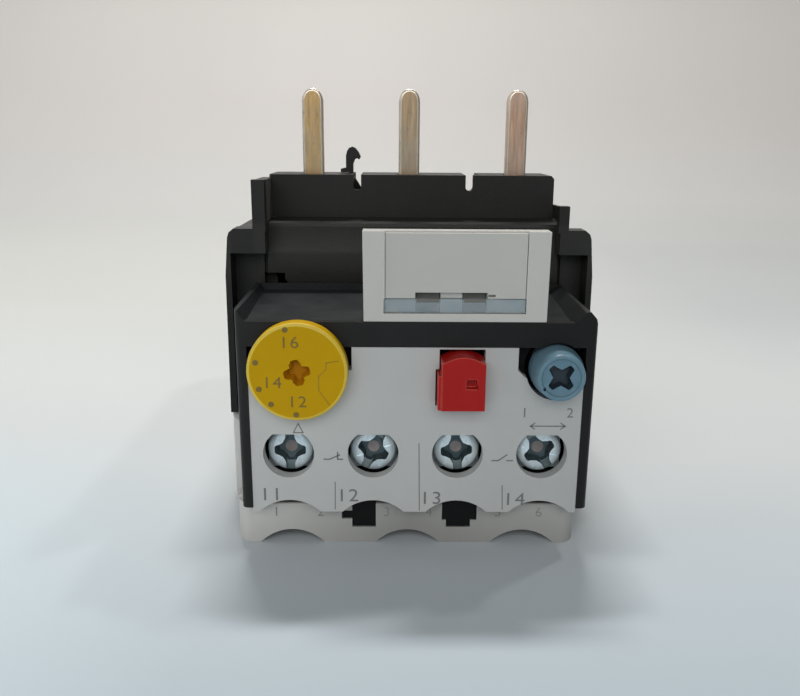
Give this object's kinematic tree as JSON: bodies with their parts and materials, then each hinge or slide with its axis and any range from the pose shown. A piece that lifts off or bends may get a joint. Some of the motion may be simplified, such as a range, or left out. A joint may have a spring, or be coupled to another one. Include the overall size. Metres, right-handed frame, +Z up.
{
  "type": "thermal overload relay",
  "caption": "Three-pole thermal overload relay with plug-in line blades, setting dial, test button, reset knob, auxiliary terminals and load terminals.",
  "frame": {"origin": "middle of the bottom of the whole relay, on the face it stands on", "axes": "+X to the right seen from the front, +Y from the front face to the back, +Z up along the line blades"},
  "size_m": [0.045, 0.076, 0.0513],
  "materials": {
    "black_plastic": "fine matte grain, edges a little brighter",
    "grey_base": "light grey moulded plastic, satin",
    "grey_panel": "light grey moulded plastic, satin",
    "white_plastic": "pale grey, smooth",
    "label_card": "plain grey card",
    "clear_window": "clear plastic",
    "zinc_steel": "bluish zinc plate",
    "brass": "plain brass",
    "copper_blade": "plated copper with rubbed faces",
    "copper_bar": "plain copper",
    "bimetal": "rolled bimetal strip",
    "heater_ribbon": "resistance ribbon",
    "spring_steel": "drawn steel",
    "cream_plastic": "heat-resistant moulded plastic",
    "dial_yellow": "yellow moulded plastic",
    "knob_blue": "grey-blue moulded plastic",
    "button_red": "red moulded plastic"
  },
  "bodies": {
    "root": {"base_housing": "grey_base", "rear_housing": "black_plastic", "rear_cover": "black_plastic", "housing_screws": "zinc_steel", "front_housing": "black_plastic", "aux_terminal_panel": "grey_panel", "aux_terminal_block": "black_plastic", "mechanism_frame": "black_plastic", "label_holder": "white_plastic", "label_insert": "label_card", "label_window": "clear_window", "contactor_hook": "black_plastic", "main_clamp_plates": "zinc_steel", "main_terminal_screws": "zinc_steel", "pole_barriers": "cream_plastic", "aux_terminal_screws": "zinc_steel", "aux_clamp_plates": "zinc_steel", "aux_bars_nc": "brass", "aux_bars_no": "brass", "adjusting_lever_pin": "spring_steel", "reset_spring": "spring_steel", "reset_lever_pin": "spring_steel", "test_spring": "spring_steel", "trip_lever_pin": "spring_steel", "line_blade_l1": "copper_blade", "heater_winding_l1": "heater_ribbon", "load_bar_t1": "copper_bar", "line_blade_l2": "copper_blade", "heater_winding_l2": "heater_ribbon", "load_bar_t2": "copper_bar", "line_blade_l3": "copper_blade", "heater_winding_l3": "heater_ribbon", "load_bar_t3": "copper_bar"},
    "setting_dial": {"setting_dial": "dial_yellow", "setting_cam": "cream_plastic"},
    "adjusting_lever": {"adjusting_lever": "cream_plastic", "compensation_strip": "bimetal"},
    "reset_plunger": {"reset_plunger": "cream_plastic"},
    "reset_knob": {"reset_knob": "knob_blue"},
    "reset_lever": {"reset_lever": "cream_plastic"},
    "test_button": {"test_button": "button_red"},
    "trip_slide": {"trip_slide": "cream_plastic"},
    "differential_slide": {"differential_slide": "cream_plastic"},
    "trip_lever": {"trip_lever": "cream_plastic"},
    "contact_carrier": {"contact_carrier": "cream_plastic", "contact_bridge_nc": "brass", "contact_bridge_no": "brass"},
    "bimetal_l1": {"bimetal_strip_l1": "bimetal"},
    "bimetal_l2": {"bimetal_strip_l2": "bimetal"},
    "bimetal_l3": {"bimetal_strip_l3": "bimetal"}
  },
  "joints": [
    {"name": "dial_turn", "type": "hinge", "parent": "root", "child": "setting_dial", "pos_m": [-0.01195, -0.033, 0.0216], "axis": [0, -1, 0], "range_deg": [0, 163]},
    {"name": "adjusting_tilt", "type": "hinge", "parent": "root", "child": "adjusting_lever", "pos_m": [-0.0097, -0.0303, 0.0177], "axis": [0, 1, 0], "range_deg": [0, 15]},
    {"name": "reset_push", "type": "slide", "parent": "root", "child": "reset_plunger", "axis": [0, 1, 0], "range_m": [0, 0.002], "stiffness_N_per_m": 300, "springref_m": -0.002, "deforming": ["reset_spring"]},
    {"name": "reset_turn", "type": "hinge", "parent": "reset_plunger", "child": "reset_knob", "pos_m": [0.0156, -0.036, 0.02127], "axis": [0, -1, 0], "range_deg": [0, 90]},
    {"name": "reset_lever_tilt", "type": "hinge", "parent": "root", "child": "reset_lever", "pos_m": [0.0154, -0.0238, 0.0175], "axis": [-1, 0, 0], "range_deg": [0, 34]},
    {"name": "test_push", "type": "slide", "parent": "root", "child": "test_button", "axis": [0, 1, 0], "range_m": [0, 0.0015], "stiffness_N_per_m": 300, "springref_m": -0.002, "deforming": ["test_spring"]},
    {"name": "trip_travel", "type": "slide", "parent": "root", "child": "trip_slide", "axis": [1, 0, 0], "range_m": [0, 0.0016]},
    {"name": "differential_travel", "type": "slide", "parent": "root", "child": "differential_slide", "axis": [1, 0, 0], "range_m": [0, 0.001]},
    {"name": "trip_lever_turn", "type": "hinge", "parent": "root", "child": "trip_lever", "pos_m": [0.0173, -0.01, 0.024], "axis": [0, 0, -1], "range_deg": [0, 4]},
    {"name": "contact_travel", "type": "slide", "parent": "root", "child": "contact_carrier", "axis": [0, 1, 0], "range_m": [0, 0.00105]},
    {"name": "bimetal_bend_l1", "type": "hinge", "parent": "root", "child": "bimetal_l1", "pos_m": [-0.01235, 0.014, 0.00695], "axis": [0, 1, 0], "range_deg": [0, 4.2]},
    {"name": "bimetal_bend_l2", "type": "hinge", "parent": "root", "child": "bimetal_l2", "pos_m": [0.00002, 0.014, 0.00695], "axis": [0, 1, 0], "range_deg": [0, 4.2]},
    {"name": "bimetal_bend_l3", "type": "hinge", "parent": "root", "child": "bimetal_l3", "pos_m": [0.01385, 0.014, 0.00695], "axis": [0, 1, 0], "range_deg": [0, 4.2]}
  ],
  "couplings": [
    {"joint": "adjusting_tilt", "follows": "dial_turn", "ratio": 0.09},
    {"joint": "reset_lever_tilt", "follows": "reset_push", "rad_per_m": 288},
    {"joint": "differential_travel", "follows": "trip_travel", "ratio": 0.6},
    {"joint": "trip_lever_turn", "follows": "trip_travel", "rad_per_m": 41.667},
    {"joint": "contact_travel", "follows": "trip_travel", "ratio": 0.62},
    {"joint": "bimetal_bend_l1", "follows": "trip_travel", "rad_per_m": 43.764},
    {"joint": "bimetal_bend_l2", "follows": "trip_travel", "rad_per_m": 43.764},
    {"joint": "bimetal_bend_l3", "follows": "trip_travel", "rad_per_m": 43.764}
  ]
}
